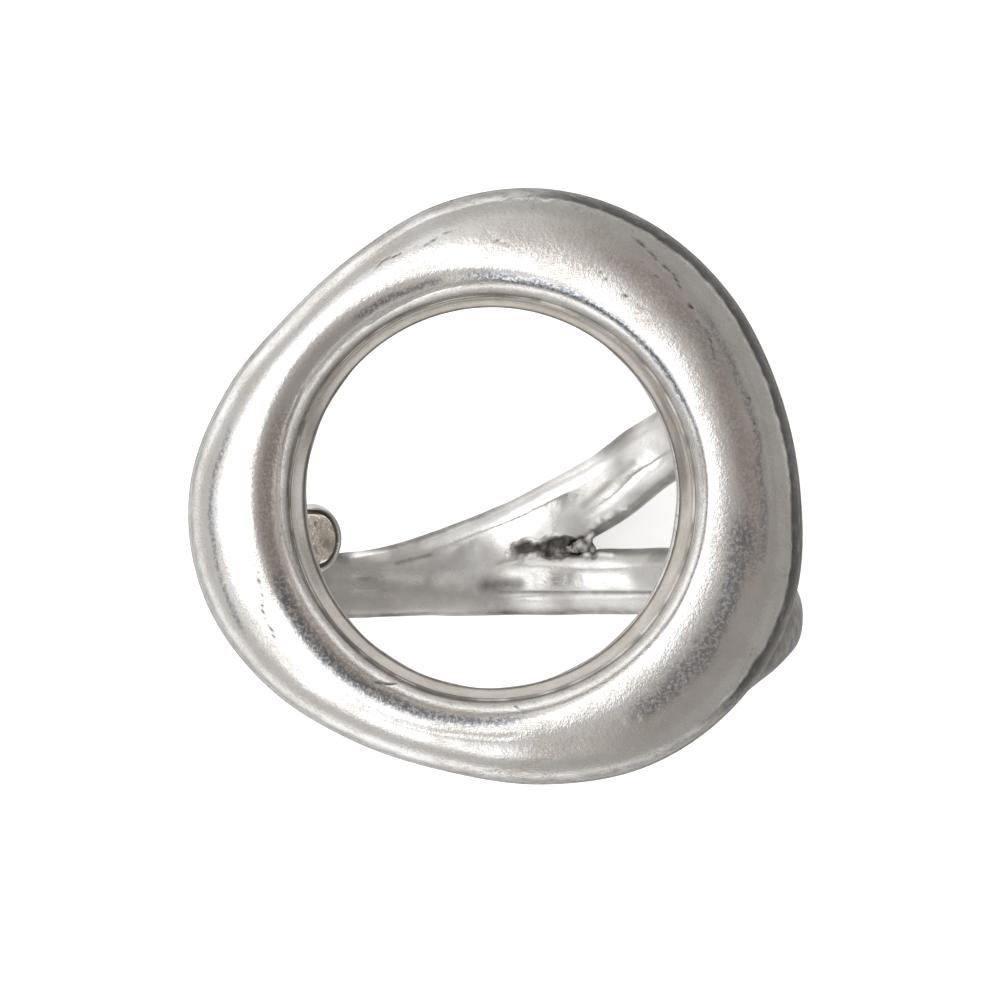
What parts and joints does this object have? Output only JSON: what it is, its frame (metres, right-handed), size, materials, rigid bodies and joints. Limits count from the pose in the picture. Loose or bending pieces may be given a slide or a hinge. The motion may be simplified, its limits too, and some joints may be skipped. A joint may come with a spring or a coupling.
{
  "type": "open-face finger ring",
  "caption": "Polished silver finger ring: a hollow pebble-shaped open face over a split, adjustable shank with a free overlapping tip.",
  "frame": {"origin": "centre of the finger opening", "axes": "+X to the wearer's right across the face, +Y along the finger, +Z out of the face"},
  "size_m": [0.0207, 0.0199, 0.0217],
  "materials": {
    "face_silver": "worn polish with fine scratches",
    "plate_silver": "satin",
    "collar_silver": "worn polish, slightly tarnished",
    "shank_silver": "soft polish",
    "tag_silver": "hammered, oxidised",
    "solder": "rough, oxidised"
  },
  "bodies": {
    "ring": {"face_dome": "face_silver", "face_back_plate": "plate_silver", "hole_collar": "collar_silver", "lower_band": "shank_silver", "upper_arm": "shank_silver", "left_arm_root": "shank_silver", "fork_solder": "solder", "lower_foot_solder": "solder", "upper_foot_solder": "solder", "left_foot_solder": "solder"},
    "left_arm": {"left_arm": "shank_silver", "end_tag": "tag_silver"}
  },
  "joints": [
    {"name": "arm_spread", "type": "hinge", "parent": "ring", "child": "left_arm", "pos_m": [-0.00902, -0.00085, 0.003], "axis": [0, 1, 0], "range_deg": [-2, 2.5]}
  ]
}
